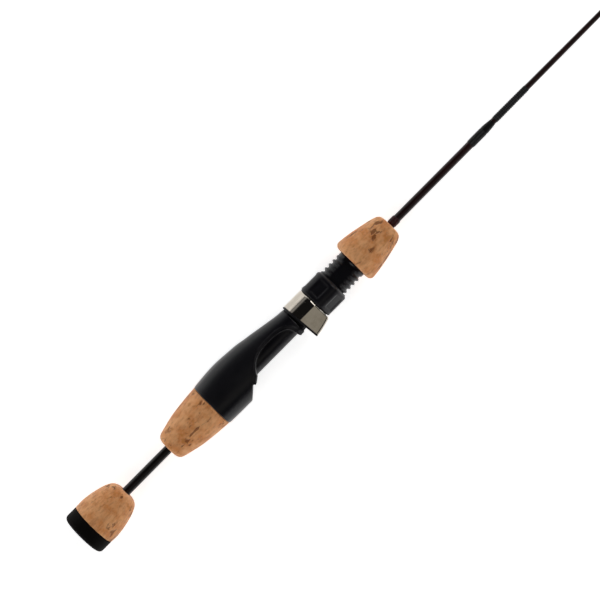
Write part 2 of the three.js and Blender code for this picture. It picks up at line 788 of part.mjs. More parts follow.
GUIDES.forEach((guide, i) => addGuide(guide, i + 1));
add("tip_top_frame", tipTopFrame(), GUIDE_WIRE);
const tipInsert = TIP_TOP.wire + 0.02;
const tipInsertRadius = TIP_TOP.radius - TIP_TOP.wire - tipInsert - RING_GAP;
add("tip_top_ring", guideRing(tipInsertRadius, tipInsert, TIP_TOP.ringX, -TIP_TOP.height), CERAMIC);
const tipWrapEnd = TIP_TOP.start - TIP_WRAP.gap;
const tipWrapBore = tipRadius(TIP_TOP.start) + WRAP_GAP;
const tipWrap = winding(tipWrapEnd - TIP_WRAP.length, tipWrapEnd, tipWrapBore, tipWrapBore, TIP_WRAP.build);
add("tip_top_wrap", tipWrap, BLACK_THREAD);

export default rod;
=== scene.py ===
import math

import bmesh
import bpy
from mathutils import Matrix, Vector


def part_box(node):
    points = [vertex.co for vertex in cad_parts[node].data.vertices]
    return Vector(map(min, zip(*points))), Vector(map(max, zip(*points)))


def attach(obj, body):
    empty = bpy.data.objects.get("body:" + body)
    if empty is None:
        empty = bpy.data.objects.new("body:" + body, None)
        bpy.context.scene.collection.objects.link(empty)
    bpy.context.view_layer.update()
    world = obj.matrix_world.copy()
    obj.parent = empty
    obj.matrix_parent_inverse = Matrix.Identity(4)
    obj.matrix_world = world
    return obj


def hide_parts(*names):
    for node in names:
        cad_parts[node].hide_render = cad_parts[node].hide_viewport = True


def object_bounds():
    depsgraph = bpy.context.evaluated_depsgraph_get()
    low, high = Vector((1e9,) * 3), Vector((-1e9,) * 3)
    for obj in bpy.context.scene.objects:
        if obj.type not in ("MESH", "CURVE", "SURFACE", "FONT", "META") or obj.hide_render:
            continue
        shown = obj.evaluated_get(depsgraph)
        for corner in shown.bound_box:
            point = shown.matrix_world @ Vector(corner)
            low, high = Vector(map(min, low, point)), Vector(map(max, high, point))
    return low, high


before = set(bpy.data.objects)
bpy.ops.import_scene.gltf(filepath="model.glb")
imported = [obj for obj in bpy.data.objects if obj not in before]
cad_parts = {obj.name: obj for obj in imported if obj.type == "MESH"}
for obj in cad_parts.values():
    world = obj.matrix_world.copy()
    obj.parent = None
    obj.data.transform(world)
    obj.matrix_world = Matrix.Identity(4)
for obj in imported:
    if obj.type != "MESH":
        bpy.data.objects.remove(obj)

cad_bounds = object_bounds()

# Lengths in the shape code are millimetres along the rod's axes, as in the CAD: +X to the tip, -Y the reel's
# side, +Z up. They become metres when a mesh is made.
MM = 0.001


def node_span(node):
    """Where a CAD node starts and ends along the rod, in millimetres."""
    low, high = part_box(node)
    return low.x / MM, high.x / MM


def node_radius(node):
    """Half of a CAD node's width across the rod, in millimetres."""
    low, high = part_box(node)
    return (high.z - low.z) / 2 / MM


# ---------------------------------------------------------------- camera, floor and light

CAMERA_PLACE = (0.178, 0.00633, 1.305)
CAMERA_TURN = math.radians(-45.25)
CAMERA_FIELD = math.radians(14.56)
CAMERA_FAR = 20

FLOOR_REACH, FLOOR_SIDES, FLOOR_GLOW = 8, 72, 0.74
BACKDROP_HEIGHT, BACKDROP_GLOW = 2.6, 0.36

# Soft area lights: place, width and height, radiance, tint. All of them aim at the handle.
HANDLE = (0.2, 0, 0)
WHITE, WARM = (1, 1, 1), (1, 0.95, 0.84)
SOFTBOXES = {
    "side_light_far": ((0.2, 1.6, 0.56), (3.2, 1.2), 0.3, WHITE),
    "side_light_reel": ((0.2, -1.6, 0.42), (3.2, 0.9), 0.06, WHITE),
    "end_light_butt": ((-1.3, 0, 1.3), (1.2, 1.2), 2.2, WHITE),
    "end_light_tip": ((1.7, 0, 1.3), (1.2, 1.2), 2.2, WHITE),
    "grey_card": ((0.2, -0.9, 1.75), (2.4, 0.8), 0.35, WARM),
}
ROOM_LIGHT = 0.01


def add_camera():
    data = bpy.data.cameras.new("camera")
    data.lens_unit = "FOV"
    data.angle = CAMERA_FIELD
    data.clip_end = CAMERA_FAR
    camera = bpy.data.objects.new("camera", data)
    camera.location = CAMERA_PLACE
    camera.rotation_euler = (0, 0, CAMERA_TURN)
    bpy.context.collection.objects.link(camera)
    bpy.context.scene.camera = camera


def add_softbox(name, place, size, radiance, tint):
    """An area light of an even brightness, aimed at the handle and not seen by the camera."""
    data = bpy.data.lights.new(name, "AREA")
    data.shape = "RECTANGLE"
    data.size, data.size_y = size
    data.energy = math.pi * size[0] * size[1] * radiance
    data.color = tint
    light = bpy.data.objects.new(name, data)
    light.location = place
    light.rotation_euler = (Vector(HANDLE) - Vector(place)).to_track_quat("-Z", "Y").to_euler()
    light.visible_camera = False
    bpy.context.collection.objects.link(light)


def add_stage_mesh(name, verts, faces, glow):
    """A white matt surface, lit a little from behind, that isn't part of the object."""
    mesh = bpy.data.meshes.new(name)
    mesh.from_pydata(verts, [], faces)
    surface = bpy.data.objects.new(name, mesh)
    material = bpy.data.materials.new(name + "_white")
    material.use_nodes = True
    shader = material.node_tree.nodes["Principled BSDF"]
    shader.inputs["Base Color"].default_value = (0.85, 0.85, 0.85, 1)
    shader.inputs["Roughness"].default_value = 0.95
    shader.inputs["Specular IOR Level"].default_value = 0.1
    shader.inputs["Emission Color"].default_value = (1, 1, 1, 1)
    shader.inputs["Emission Strength"].default_value = glow
    mesh.materials.append(material)
    bpy.context.collection.objects.link(surface)


def add_floor():
    """A round white floor with a low white wall far behind, all round."""
    low = cad_bounds[0][2]
    turns = [2 * math.pi * i / FLOOR_SIDES for i in range(FLOOR_SIDES)]
    edge = [(FLOOR_REACH * math.cos(t), FLOOR_REACH * math.sin(t), low) for t in turns]
    top = [(x, y, low + BACKDROP_HEIGHT) for x, y, _ in edge]
    add_stage_mesh("floor", edge, [tuple(range(FLOOR_SIDES))], FLOOR_GLOW)
    walls = []
    for i in range(FLOOR_SIDES):
        j = (i + 1) % FLOOR_SIDES
        walls.append((i, j, FLOOR_SIDES + j, FLOOR_SIDES + i))
    add_stage_mesh("backdrop", edge + top, walls, BACKDROP_GLOW)


def add_studio():
    world = bpy.data.worlds.new("studio")
    world.use_nodes = True
    background = world.node_tree.nodes["Background"]
    background.inputs["Color"].default_value = (1, 1, 1, 1)
    background.inputs["Strength"].default_value = ROOM_LIGHT
    bpy.context.scene.world = world
    bpy.context.scene.view_settings.view_transform = "Standard"
    for name, settings in SOFTBOXES.items():
        add_softbox(name, *settings)


# ---------------------------------------------------------------- materials

def srgb(red, green, blue):
    """A colour given as 0 to 255 on a screen, as the linear colour that a shader takes."""
    def linear(value):
        value /= 255
        return value / 12.92 if value <= 0.04045 else ((value + 0.055) / 1.055) ** 2.4
    return (linear(red), linear(green), linear(blue), 1)


class Paint:
    """A material under construction: a Principled shader and the nodes that feed it."""

    def __init__(self, name, **uniform):
        self.material = bpy.data.materials.new(name)
        self.material.use_nodes = True
        self.tree = self.material.node_tree
        self.shader = self.tree.nodes["Principled BSDF"]
        self.place = self.tree.nodes.new("ShaderNodeTexCoord").outputs["Object"]
        for key, value in uniform.items():
            self.shader.inputs[key.replace("_", " ")].default_value = value

    def link(self, source, target):
        self.tree.links.new(source, target)

    def put(self, socket, value):
        if isinstance(value, bpy.types.NodeSocket):
            self.link(value, socket)
        else:
            socket.default_value = value

    def stretch(self, along, across):
        """The place in the rod's frame with its scale changed along and across the rod."""
        node = self.tree.nodes.new("ShaderNodeMapping")
        self.link(self.place, node.inputs["Vector"])
        node.inputs["Scale"].default_value = (along, across, across)
        return node.outputs["Vector"]

    def shift(self, vector, offset):
        node = self.tree.nodes.new("ShaderNodeMapping")
        self.link(vector, node.inputs["Vector"])
        node.inputs["Location"].default_value = offset
        return node.outputs["Vector"]

    def noise(self, vector, scale, detail=3.0, rough=0.5, distort=0.0):
        node = self.tree.nodes.new("ShaderNodeTexNoise")
        self.link(vector, node.inputs["Vector"])
        node.inputs["Scale"].default_value = scale
        node.inputs["Detail"].default_value = detail
        node.inputs["Roughness"].default_value = rough
        node.inputs["Distortion"].default_value = distort
        return node.outputs["Fac"]

    def cells(self, vector, scale):
        node = self.tree.nodes.new("ShaderNodeTexVoronoi")
        self.link(vector, node.inputs["Vector"])
        node.inputs["Scale"].default_value = scale
        return node.outputs["Distance"]

    def bands(self, scale):
        """Even stripes round the rod."""
        node = self.tree.nodes.new("ShaderNodeTexWave")
        node.bands_direction = "X"
        self.link(self.place, node.inputs["Vector"])
        node.inputs["Scale"].default_value = scale
        return node.outputs["Fac"]

    def ramp(self, value, low, high, to_low=0.0, to_high=1.0):
        """value taken from the range low..high to to_low..to_high, and held at its ends."""
        node = self.tree.nodes.new("ShaderNodeMapRange")
        node.interpolation_type = "SMOOTHSTEP"
        self.link(value, node.inputs["Value"])
        node.inputs["From Min"].default_value = low
        node.inputs["From Max"].default_value = high
        node.inputs["To Min"].default_value = to_low
        node.inputs["To Max"].default_value = to_high
        return node.outputs["Result"]

    def math(self, operation, one, two):
        node = self.tree.nodes.new("ShaderNodeMath")
        node.operation = operation
        self.put(node.inputs[0], one)
        self.put(node.inputs[1], two)
        return node.outputs["Value"]

    def mix(self, factor, one, two):
        node = self.tree.nodes.new("ShaderNodeMix")
        node.data_type = "RGBA"
        self.put(node.inputs["Factor"], factor)
        for socket, value in zip((s for s in node.inputs if s.type == "RGBA"), (one, two)):
            self.put(socket, value)
        return next(s for s in node.outputs if s.type == "RGBA")

    def bump(self, height, distance, strength=1.0, under=None):
        node = self.tree.nodes.new("ShaderNodeBump")
        self.link(height, node.inputs["Height"])
        node.inputs["Distance"].default_value = distance
        node.inputs["Strength"].default_value = strength
        if under:
            self.link(under, node.inputs["Normal"])
        return node.outputs["Normal"]

    def finish(self, colour, roughness, normal, coat_normal=None):
        self.link(colour, self.shader.inputs["Base Color"])
        self.link(roughness, self.shader.inputs["Roughness"])
        self.link(normal, self.shader.inputs["Normal"])
        if coat_normal:
            self.link(coat_normal, self.shader.inputs["Coat Normal"])
        return self.material


def make_cork(name, offset):
    """Natural cork: pale tan, orange-brown blotches and clusters of dark pits that run along the rod."""
    paint = Paint(name, Specular_IOR_Level=0.2, Sheen_Weight=0.2, Sheen_Roughness=0.5)
    place = paint.shift(paint.stretch(1, 1), offset)
    long_place = paint.shift(paint.stretch(0.38, 1), offset)
    blotches = paint.noise(place, 150, 3, 0.6)
    grain = paint.noise(long_place, 620, 4, 0.6)
    granules = paint.cells(place, 700)
    colour = paint.mix(paint.ramp(blotches, 0.35, 0.68), srgb(242, 178, 122), srgb(222, 144, 82))
    colour = paint.mix(paint.ramp(grain, 0.4, 0.75, 0, 0.55), colour, srgb(176, 102, 54))
    colour = paint.mix(paint.ramp(granules, 0.1, 0.6, 0.25, 0), colour, srgb(232, 176, 128))
    clusters = paint.ramp(paint.noise(place, 110, 2, 0.5), 0.46, 0.58)
    streaks = paint.ramp(paint.noise(long_place, 400, 2, 0.55, 0.5), 0.56, 0.64)
    specks = paint.ramp(paint.noise(place, 900, 1, 0.5), 0.73, 0.8)
    pits = paint.math("MAXIMUM", paint.math("MULTIPLY", streaks, clusters), specks)
    rust = paint.ramp(paint.noise(paint.shift(place, (0.4, 0.3, 0.2)), 210, 2, 0.5), 0.56, 0.72, 0, 0.5)
    colour = paint.mix(rust, colour, srgb(186, 116, 48))
    colour = paint.mix(paint.math("MULTIPLY", pits, 0.7), colour, srgb(104, 54, 18))
    height = paint.math("SUBTRACT", paint.math("MULTIPLY", grain, 0.35), pits)
    normal = paint.bump(height, 0.0005, 0.8)
    roughness = paint.ramp(pits, 0, 1, 0.72, 0.95)
    return paint.finish(colour, roughness, normal)


def make_moulded(name, colour, rough, grain_scale=2600, depth=0.00002, gloss=0.28):
    """Black moulded plastic: a fine even texture, faint flow marks and slightly shinier handled places."""
    paint = Paint(name, Specular_IOR_Level=gloss)
    grain = paint.noise(paint.place, grain_scale, 2, 0.6)
    flow = paint.noise(paint.stretch(0.4, 1), 90, 4, 0.55)
    base = paint.mix(paint.ramp(flow, 0.3, 0.75), srgb(*colour), srgb(*[value * 1.25 for value in colour]))
    roughness = paint.ramp(flow, 0.3, 0.7, rough - 0.05, rough + 0.07)
    return paint.finish(base, roughness, paint.bump(grain, depth, 0.6))


def make_metal():
    """Polished nickel plate on a thin pressed shell: faint ripple, hairlines and handling haze."""
    paint = Paint("polished_nickel", Metallic=1.0)
    hairlines = paint.noise(paint.stretch(12, 1), 420, 3, 0.6)
    haze = paint.noise(paint.place, 120, 4, 0.6)
    ripple = paint.noise(paint.stretch(0.3, 1), 160, 1, 0.4)
    colour = paint.mix(paint.ramp(haze, 0.3, 0.7), srgb(200, 193, 182), srgb(186, 178, 166))
    scuffs = paint.ramp(hairlines, 0.55, 0.75, 0, 0.06)
    roughness = paint.math("ADD", paint.ramp(haze, 0.3, 0.75, 0.08, 0.16), scuffs)
    normal = paint.bump(ripple, 0.0002, 0.35)
    normal = paint.bump(hairlines, 0.00001, 0.3, normal)
    return paint.finish(colour, roughness, normal)


def make_blank():
    """Lacquered carbon blank: its own dark red toward the tip, going near-black toward the butt, where the
    black is painted shade for the blank in the gap between the corks; fine lengthwise fibres and a clear
    coat.
    """
    paint = Paint("lacquered_blank", Coat_Weight=0.4, Coat_Roughness=0.1, Specular_IOR_Level=0.2)
    fibres = paint.noise(paint.stretch(0.05, 1), 3200, 3, 0.6)
    separate = paint.tree.nodes.new("ShaderNodeSeparateXYZ")
    paint.link(paint.place, separate.inputs["Vector"])
    cloud = paint.ramp(paint.noise(paint.place, 60, 2, 0.5), 0.3, 0.7, 0.6, 1)
    # Painted shade: the red tint is ramped out toward the butt, so the blank between the knob and the rear
    # grip is painted black; forward it keeps its own dark red.
    tint = paint.math("MULTIPLY", paint.ramp(separate.outputs["X"], 0.15, 0.3), cloud)
    colour = paint.mix(tint, srgb(6, 5, 5), srgb(34, 9, 10))
    colour = paint.mix(paint.ramp(fibres, 0.45, 0.75, 0, 0.35), colour, srgb(52, 22, 22))
    roughness = paint.ramp(fibres, 0.3, 0.8, 0.28, 0.42)
    return paint.finish(colour, roughness, paint.bump(fibres, 0.00002, 0.4))


def make_thread(name, dark, light, pitch):
    """Rod-building thread under clear epoxy: fine fibres along each turn, with the gloss on top."""
    paint = Paint(name, Coat_Weight=0.25, Coat_Roughness=0.1, Specular_IOR_Level=0.12)
    strands = paint.bands(1 / (2 * pitch * MM) / math.pi)
    fuzz = paint.noise(paint.stretch(1, 0.2), 5200, 2, 0.6)
    pool = paint.noise(paint.place, 240, 2, 0.5)
    colour = paint.mix(paint.ramp(strands, 0.1, 0.9), srgb(*dark), srgb(*light))
    roughness = paint.ramp(fuzz, 0.3, 0.7, 0.35, 0.55)
    normal = paint.bump(paint.math("ADD", strands, paint.math("MULTIPLY", fuzz, 0.4)), 0.00004, 0.5)
    return paint.finish(colour, roughness, normal, paint.bump(pool, 0.0003, 0.3))


def make_wire():
    """Stainless guide wire, lightly brushed."""
    paint = Paint("guide_steel", Metallic=1.0)
    brushed = paint.noise(paint.stretch(1, 1), 1500, 3, 0.6)
    colour = paint.mix(paint.ramp(brushed, 0.3, 0.7), srgb(150, 152, 156), srgb(182, 184, 188))
    return paint.finish(colour, paint.ramp(brushed, 0.3, 0.7, 0.18, 0.32), paint.bump(brushed, 0.00001, 0.4))


def make_ceramic():
    """Polished dark ceramic with a very fine mottle."""
    paint = Paint("guide_ceramic", Coat_Weight=0.6, Coat_Roughness=0.04)
    mottle = paint.noise(paint.place, 1800, 3, 0.5)
    colour = paint.mix(paint.ramp(mottle, 0.35, 0.7), srgb(28, 30, 34), srgb(48, 50, 55))
    return paint.finish(colour, paint.ramp(mottle, 0.3, 0.7, 0.1, 0.18), paint.bump(mottle, 0.000005, 0.3))


def make_arbor():
    """Wound paper tape that fills the seat's bore."""
    paint = Paint("arbor_paper")
    turns = paint.bands(160)
    fibre = paint.noise(paint.stretch(1, 3), 900, 4, 0.6)
    colour = paint.mix(paint.ramp(fibre, 0.3, 0.7), srgb(196, 176, 140), srgb(164, 142, 106))
    colour = paint.mix(paint.ramp(turns, 0, 0.15, 0.4, 0), colour, srgb(110, 92, 66))
    return paint.finish(colour, paint.ramp(fibre, 0.3, 0.7, 0.8, 0.95), paint.bump(fibre, 0.0001, 0.5))


CORK_KNOB = make_cork("cork_knob", (0.0, 0.0, 0.0))
CORK_REAR = make_cork("cork_rear", (0.311, 0.07, 0.02))
CORK_FORE = make_cork("cork_fore", (0.713, -0.05, 0.11))
RUBBER = make_moulded("cap_rubber", (8, 6, 5), 0.62, 1500, 0.00004, 0.06)
SEAT_PLASTIC = make_moulded("seat_plastic", (5, 4, 10), 0.36, gloss=0.36)
NUT_PLASTIC = make_moulded("nut_plastic", (7, 6, 12), 0.36, gloss=0.32)
LINER_PLASTIC = make_moulded("liner_plastic", (4, 4, 7), 0.45, gloss=0.2)
METAL = make_metal()
BLANK = make_blank()
BLACK_THREAD = make_thread("black_thread", (5, 5, 6), (15, 15, 18), 0.3)
TRIM_THREAD = make_thread("trim_thread", (30, 5, 9), (66, 10, 18), 0.3)
WIRE = make_wire()
CERAMIC = make_ceramic()
ARBOR = make_arbor()

# ---------------------------------------------------------------- mesh tools

SHARP = math.radians(38)


def new_mesh(name, verts, faces):
    mesh = bpy.data.meshes.new(name)
    mesh.from_pydata([Vector(v) * MM for v in verts], [], faces)
    shape = bmesh.new()
    shape.from_mesh(mesh)
    bmesh.ops.recalc_face_normals(shape, faces=shape.faces)
    shape.to_mesh(mesh)
    shape.free()
    return mesh


def new_object(name, *shapes):
    """One object from one or more (verts, faces) shapes."""
    verts, faces = merge(*shapes)
    piece = bpy.data.objects.new(name, new_mesh(name, verts, faces))
    bpy.context.collection.objects.link(piece)
    return piece


def merge(*shapes):
    verts, faces = [], []
    for more_verts, more_faces in shapes:
        first = len(verts)
        verts += more_verts
        faces += [tuple(first + i for i in face) for face in more_faces]
    return verts, faces


def apply_modifiers(piece):
    """Replaces a piece's mesh with what its modifiers make of it."""
    graph = bpy.context.evaluated_depsgraph_get()
    mesh = bpy.data.meshes.new_from_object(piece.evaluated_get(graph))
    old = piece.data
    piece.modifiers.clear()
    piece.data = mesh
    bpy.data.meshes.remove(old)


def combine(operation, piece, *shapes):
    """Joins (verts, faces) shapes to a piece by UNION, or cuts them out of it by DIFFERENCE."""
    helpers = []
    for shape in shapes:
        helper = new_object("helper", shape)
        modifier = piece.modifiers.new("combine", "BOOLEAN")
        modifier.operation = operation
        modifier.solver = "EXACT"
        modifier.object = helper
        helpers.append(helper)
    apply_modifiers(piece)
    for helper in helpers:
        mesh = helper.data
        bpy.data.objects.remove(helper)
        bpy.data.meshes.remove(mesh)


def place(piece, material, body, node, slot):
    """Gives a piece its material and smooth shading, hangs it under its body's empty and hides the CAD node
    it stands in for; slot is not used.
    """
    mesh = piece.data
    mesh.materials.clear()
    mesh.materials.append(material)
    mesh.polygons.foreach_set("use_smooth", [True] * len(mesh.polygons))
    mesh.set_sharp_from_angle(angle=SHARP)
    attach(piece, body)
    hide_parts(node)
    return piece


def loft(rings, closed=False):
    """A skin over rings of points, with its ends capped, or closed from the last ring back to the first."""
    count = len(rings[0])
    verts = [tuple(p) for ring in rings for p in ring]
    faces = []
    spans = len(rings) if closed else len(rings) - 1
    for i in range(spans):
        one, two = i * count, (i + 1) % len(rings) * count
        for j in range(count):
            k = (j + 1) % count
            faces.append((one + j, one + k, two + k, two + j))
    if not closed:
        faces.append(tuple(range(count)))
        faces.append(tuple(range(len(verts) - count, len(verts))))
    return verts, faces


def circle(x, radius, sides):
    turn = 2 * math.pi / sides
    return [(x, radius * math.cos(i * turn), radius * math.sin(i * turn)) for i in range(sides)]


def turned(outline, sides=96, closed=False):
    """A solid turned about the rod's axis from (x, radius) points."""
    return loft([circle(x, radius, sides) for x, radius in outline], closed)


def arc(x, y, radius, start, end, steps=6):
    """Points on an arc, angles in degrees."""
    angles = [math.radians(start + (end - start) * i / steps) for i in range(steps + 1)]
    return [(x + radius * math.cos(a), y + radius * math.sin(a)) for a in angles]


def spline(points, steps):
    """Points on a smooth line through the given ones, the same number of steps in each interval."""
    points = [Vector(p) for p in points]
    ends = [2 * points[0] - points[1], *points, 2 * points[-1] - points[-2]]
    line = []
    for i in range(len(points) - 1):
        a, b, c, d = ends[i:i + 4]
        for j in range(steps):
            t = j / steps
            square = 2 * a - 5 * b + 4 * c - d
            cube = 3 * b - a - 3 * c + d
            line.append(0.5 * (2 * b + (c - a) * t + square * t * t + cube * t ** 3))
    line.append(points[-1])
    return [tuple(p) for p in line]


def slab(outline, half_width):
    """A flat outline in the XY plane, given thickness across the rod."""
    count = len(outline)
    verts = [(x, y, side) for side in (-half_width, half_width) for x, y in outline]
    faces = [tuple(range(count)), tuple(range(count, 2 * count))]
    faces += [(i, (i + 1) % count, count + (i + 1) % count, count + i) for i in range(count)]
    return verts, faces


def tube(path, radius, sides=12, flat=1.0):
    """A rod of round section along a path, or of oval section where flat is under 1."""
    path = [Vector(p) for p in path]
    rings = []
    side = None
    for i, point in enumerate(path):
        ahead = (path[min(i + 1, len(path) - 1)] - path[max(i - 1, 0)]).normalized()
        if side is None:
            side = ahead.cross(Vector((0, 1, 0))).normalized()
        side = (side - ahead * side.dot(ahead)).normalized()
        up = ahead.cross(side)
        size = radius[i] if isinstance(radius, list) else radius
        turns = [2 * math.pi * j / sides for j in range(sides)]
        rings.append([point + size * (math.cos(t) * side + flat * math.sin(t) * up) for t in turns])
    return loft(rings)


def ring(middle, radius, thick, lean, width=1.0, sides=56, around=14):
    """A ring whose hole faces along the rod, leaned about the Z axis."""
    tilt = Vector((math.cos(lean), math.sin(lean), 0))
    up = Vector((-math.sin(lean), math.cos(lean), 0))
    rings = []
    for i in range(sides):
        t = 2 * math.pi * i / sides
        out = math.cos(t) * up + math.sin(t) * Vector((0, 0, 1))
        rings.append([
            Vector(middle) + out * (radius + thick * math.cos(s)) + tilt * thick * width * math.sin(s)
            for s in (2 * math.pi * j / around for j in range(around))
        ])
    return loft(rings, closed=True)


# ---------------------------------------------------------------- butt cap, corks

FACE_GAP = 0.05
CAP_CORNER, CAP_LIP = 2.2, 0.35
SOCKET_RADIUS, SOCKET_DEPTH, SOCKET_GAP = 9.3, 4.0, 0.3
BLANK_HOLE = 3.0
GRIP_RADIUS, GRIP_END_RADIUS = 13.75, 5.4
REAR_TENON, FORE_SOCKET, FORE_SOCKET_DEPTH, FORE_CORNER = 9.2, 7.9, 6.7, 2.8


def build_butt():
    start, end = node_span("butt_cap")
    radius = node_radius("butt_cap")
    cap = [
        (start, 2),
        (start, radius - CAP_CORNER - 1),
        *arc(start + CAP_CORNER, radius - CAP_CORNER, CAP_CORNER, 180, 90),
        *arc(end - CAP_LIP, radius - CAP_LIP, CAP_LIP, 90, 0, 3),
        (end, SOCKET_RADIUS),
        (end - SOCKET_DEPTH, SOCKET_RADIUS),
        (end - SOCKET_DEPTH, 2),
    ]
    place(new_object("butt_cap_moulding", turned(cap)), RUBBER, "rod", "butt_cap", "cap_rubber")

    knob_start, knob_end = node_span("butt_knob_cork")
    crown = [(end + 0.3, radius), (14, 13.93), (19.7, 13.2), (26.4, 11.6)]
    crown += [(30.4, 10), (32.7, 8.4), (33.9, 6.4)]
    knob = [
        (knob_start, 2),
        (knob_start, SOCKET_RADIUS - SOCKET_GAP),
        (end + FACE_GAP, SOCKET_RADIUS - SOCKET_GAP),
        (end + FACE_GAP, radius - 0.3),
        *spline(crown, 6),
        (knob_end, GRIP_END_RADIUS),
        (knob_end, BLANK_HOLE),
        (knob_end - 20, BLANK_HOLE),
    ]
    place(new_object("butt_knob", turned(knob)), CORK_KNOB, "rod", "butt_knob_cork", "cork")


def build_grips():
    start, end = node_span("rear_grip_cork")
    shoulder = node_span("reel_seat_body")[0] - FACE_GAP
    flank = [(68.3, 6.4), (69.1, 7.8), (71, 9), (76.4, 10.4), (83.1, 11.9), (93.1, 13.1)]
    flank += [(shoulder - 0.3, GRIP_RADIUS)]
    rear = [
        (start, GRIP_END_RADIUS),
        *spline(flank, 6),
        (shoulder, GRIP_RADIUS - 0.25),
        (shoulder, REAR_TENON),
        (end, REAR_TENON),
        (end, BLANK_HOLE),
        (start, BLANK_HOLE),
    ]
    place(new_object("rear_grip", turned(rear, closed=True)), CORK_REAR, "rod", "rear_grip_cork", "cork")

    start, end = node_span("fore_grip_cork")
    flank = [(217, 13.7), (223, 12.9), (229.7, 11.6), (236.4, 10.1), (240, 9), (241.9, 7.7), (242.6, 6.4)]
    fore = [
        *arc(start + FORE_CORNER, GRIP_RADIUS - FORE_CORNER, FORE_CORNER, 180, 90),
        *spline(flank, 6),
        (end, GRIP_END_RADIUS),
        (end, BLANK_HOLE),
        (start + FORE_SOCKET_DEPTH, BLANK_HOLE),
        (start + FORE_SOCKET_DEPTH, FORE_SOCKET),
        (start, FORE_SOCKET),
    ]
    place(new_object("fore_grip", turned(fore, closed=True)), CORK_FORE, "rod", "fore_grip_cork", "cork")


# ---------------------------------------------------------------- blank and windings

BLANK_BORE = 1.6
SPIGOT = (292, 1.45)
BLANK_RADIUS = ((12, 2.7), (317, 2.25))
TIP_RADIUS = ((317, 1.85), (608.8, 0.62))


def taper(ends, x):
    (x0, r0), (x1, r1) = ends
    return r0 + (r1 - r0) * (x - x0) / (x1 - x0)


def build_blank():
    start, end = node_span("blank_butt_section")
    outline = [
        (start, taper(BLANK_RADIUS, start)),
        (end, taper(BLANK_RADIUS, end)),
        (end, BLANK_BORE),
        (start, BLANK_BORE),
    ]
    piece = new_object("blank_butt", turned(outline, 48, closed=True))
    place(piece, BLANK, "rod", "blank_butt_section", "blank_lacquer")

    start, end = node_span("blank_tip_section")
    shoulder = TIP_RADIUS[0][0] + 0.3
    outline = [
        (start, SPIGOT[1]),
        (shoulder, SPIGOT[1]),
        (shoulder, taper(TIP_RADIUS, shoulder)),
        (end, taper(TIP_RADIUS, end)),
    ]
    place(new_object("blank_tip", turned(outline, 48)), BLANK, "rod", "blank_tip_section", "blank_lacquer")


RIDGE = 0.22
WINDING_GAP = 0.02
SPLICE_RADIUS, SPLICE_STEP = 2.27, 317.3


def on_butt(x):
    """The radius at which a winding lies on the butt section."""
    return taper(BLANK_RADIUS, x) + WINDING_GAP


def on_tip(x):
    """The radius at which a winding lies on the tip section."""
    return taper(TIP_RADIUS, x) + WINDING_GAP


def thread_outline(start, end, base, build, pitch, ramp=0.8):
    """The outside of a winding: a round ridge for each turn of thread, sloping down at both ends."""
    turns = max(3, round((end - start) / pitch))
    steps = 6
    points = []
    for i in range(turns * steps + 1):
        x = start + (end - start) * i / (turns * steps)
        slope = min(1.0, (x - start) / ramp, (end - x) / ramp)
        ridge = abs(math.sin(math.pi * i / steps)) * pitch * RIDGE
        points.append((x, base(x) + build * (0.35 + 0.65 * max(0, slope)) - pitch * RIDGE + ridge))
    return points


def build_winding(name, node, base, build, pitch, material, slot):
    start, end = node_span(node)
    outside = thread_outline(start, end, base, build, pitch)
    outline = [*outside, (end, base(end)), (start, base(start))]
    place(new_object(name, turned(outline, 32, closed=True)), material, "rod", node, slot)


def build_windings():
    build_winding("fore_trim", "fore_trim_winding", on_butt, 0.4, 0.45, TRIM_THREAD, "trim_thread")
    build_winding("tip_band", "tip_band_winding", on_tip, 0.3, 1.24, BLACK_THREAD, "black_thread")
    build_winding("tip_top_thread", "tip_top_wrap", on_tip, 0.34, 0.35, BLACK_THREAD, "black_thread")

    start, end = node_span("splice_wrap")
    turns_end = 316.9
    outline = [
        *thread_outline(start, turns_end, lambda x: SPLICE_RADIUS - 0.01, 0.32, 0.4, 1.0)[:-3],
        (SPLICE_STEP, 2.52),
        (320.2, 2.3),
        (322.6, 2.04),
        (end, on_tip(end) + 0.06),
        (end, on_tip(end)),
        (SPLICE_STEP, on_tip(SPLICE_STEP)),
        (SPLICE_STEP, SPLICE_RADIUS),
        (start, SPLICE_RADIUS),
    ]
    piece = new_object("splice", turned(outline, 40, closed=True))
    place(piece, BLACK_THREAD, "rod", "splice_wrap", "black_thread")


# ---------------------------------------------------------------- reel seat

# The seat's outside: place, height above the axis, depth below it, half-width.
SEAT_STATIONS = [
    (102.1, 13.8, 13.9, 13.7),
    (103.2, 14.1, 14.1, 13.85),
    (110, 14.75, 14.25, 13.6),
    (116, 15.1, 14.3, 13.2),
    (121, 15.1, 14.3, 12.75),
    (126, 14.8, 14.2, 12.3),
    (131, 14.4, 14, 11.8),
    (136, 13.9, 13.6, 11.2),
    (141, 13.0, 12.8, 10.6),
    (146, 12.3, 12, 10.1),
    (151, 11.4, 11, 9.7),
    (156, 10.6, 10.2, 9.4),
    (161, 9.8, 9.6, 9.2),
    (165, 9.35, 9.3, 9.1),
    (167.3, 9.2, 9.2, 9.0),
]
SIDE_FLATNESS = 0.86
BED_RADIUS, BED_DEPTH = 6.3, 6.0
THREAD_PITCH, THREAD_SUNK, THREAD_ROOT, THREAD_CREST, TOP_CREST = 3.1, 7.5, 8.0, 9.2, 200.6
BARREL_RADIUS, BARREL_FLAT = 9.0, 7.2
VOXEL = 0.34


def fill(value, power=SIDE_FLATNESS):
    return math.copysign(abs(value) ** power, value)


def seat_ring(station, sides=112):
    x, top, bottom, side = station
    points = []
    for i in range(sides):
        t = 2 * math.pi * i / sides
        y = fill(math.cos(t)) * (top if math.cos(t) > 0 else bottom)
        points.append((x, y, fill(math.sin(t)) * side))
    return points


